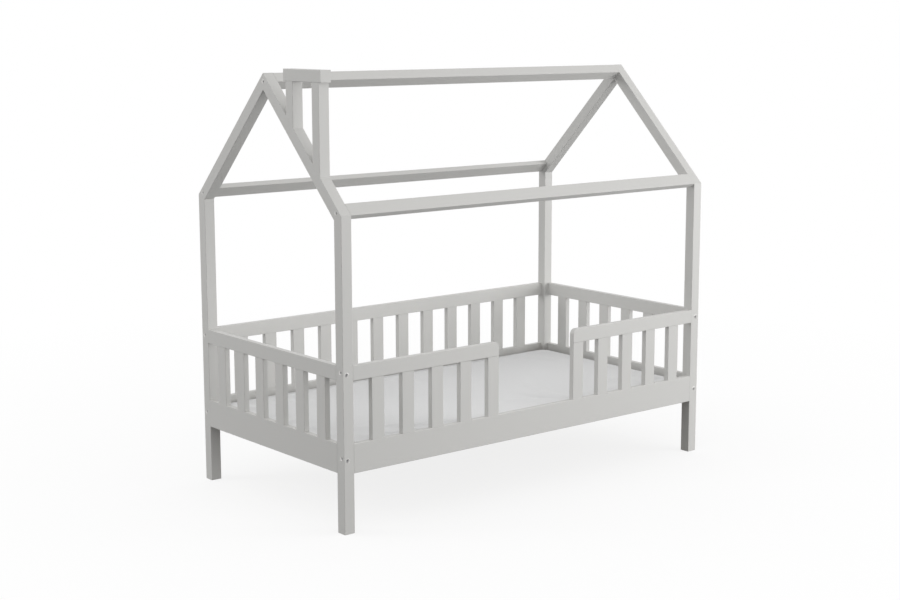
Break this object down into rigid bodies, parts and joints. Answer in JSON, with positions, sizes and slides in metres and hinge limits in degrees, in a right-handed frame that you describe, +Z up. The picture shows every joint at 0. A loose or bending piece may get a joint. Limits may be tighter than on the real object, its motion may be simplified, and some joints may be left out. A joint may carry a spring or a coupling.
{
  "type": "house frame bed for a child",
  "caption": "Low child's bed in a house-shaped wooden frame with slatted sides, an entry gap, a small chimney and a mattress.",
  "frame": {"origin": "on the floor below the middle of the bed", "axes": "+X along the bed towards the end without the chimney, +Y from the entry side to the back, +Z up"},
  "size_m": [1.68, 0.88, 1.507],
  "materials": {
    "paint": "satin warm grey paint on solid wood",
    "bare_wood": "planed, unpainted",
    "tongue_wood": "bare hardwood",
    "steel": "zinc plated",
    "webbing": "woven polyester band",
    "mattress_cover": "white woven cotton cover"
  },
  "bodies": {
    "frame": {"post_front_left": "paint", "post_front_right": "paint", "post_back_right": "paint", "post_back_left": "paint", "rafter_front_left": "paint", "rafter_front_right": "paint", "rafter_back_right": "paint", "rafter_back_left": "paint", "ridge_beam": "paint", "eaves_beam_front": "paint", "eaves_beam_back": "paint", "chimney_upright_back": "paint", "chimney_upright_front": "paint", "chimney_cap": "paint", "back_bottom_rail": "paint", "back_slats": "paint", "back_top_rail": "paint", "left_bottom_rail": "paint", "left_slats": "paint", "left_top_rail": "paint", "right_bottom_rail": "paint", "right_slats": "paint", "right_top_rail": "paint", "front_bottom_rail": "paint", "left_guard_rail": "paint", "right_guard_rail": "paint", "left_guard_slats": "paint", "left_guard_stile": "paint", "right_guard_stile": "paint", "right_guard_slats": "paint", "ledger_front": "bare_wood", "ledger_back": "bare_wood", "base_slats": "bare_wood", "left_end_slat": "bare_wood", "right_end_slat": "bare_wood", "mitre_tongues": "tongue_wood", "chimney_tongues": "tongue_wood", "rail_bolts": "steel", "gable_bolts": "steel", "slat_screws": "steel", "webbing_front": "webbing", "webbing_back": "webbing"},
    "mattress": {"mattress": "mattress_cover"}
  },
  "joints": [
    {"name": "mattress_lift", "type": "slide", "parent": "frame", "child": "mattress", "axis": [0, 0, 1], "range_m": [0, 0.35]}
  ]
}
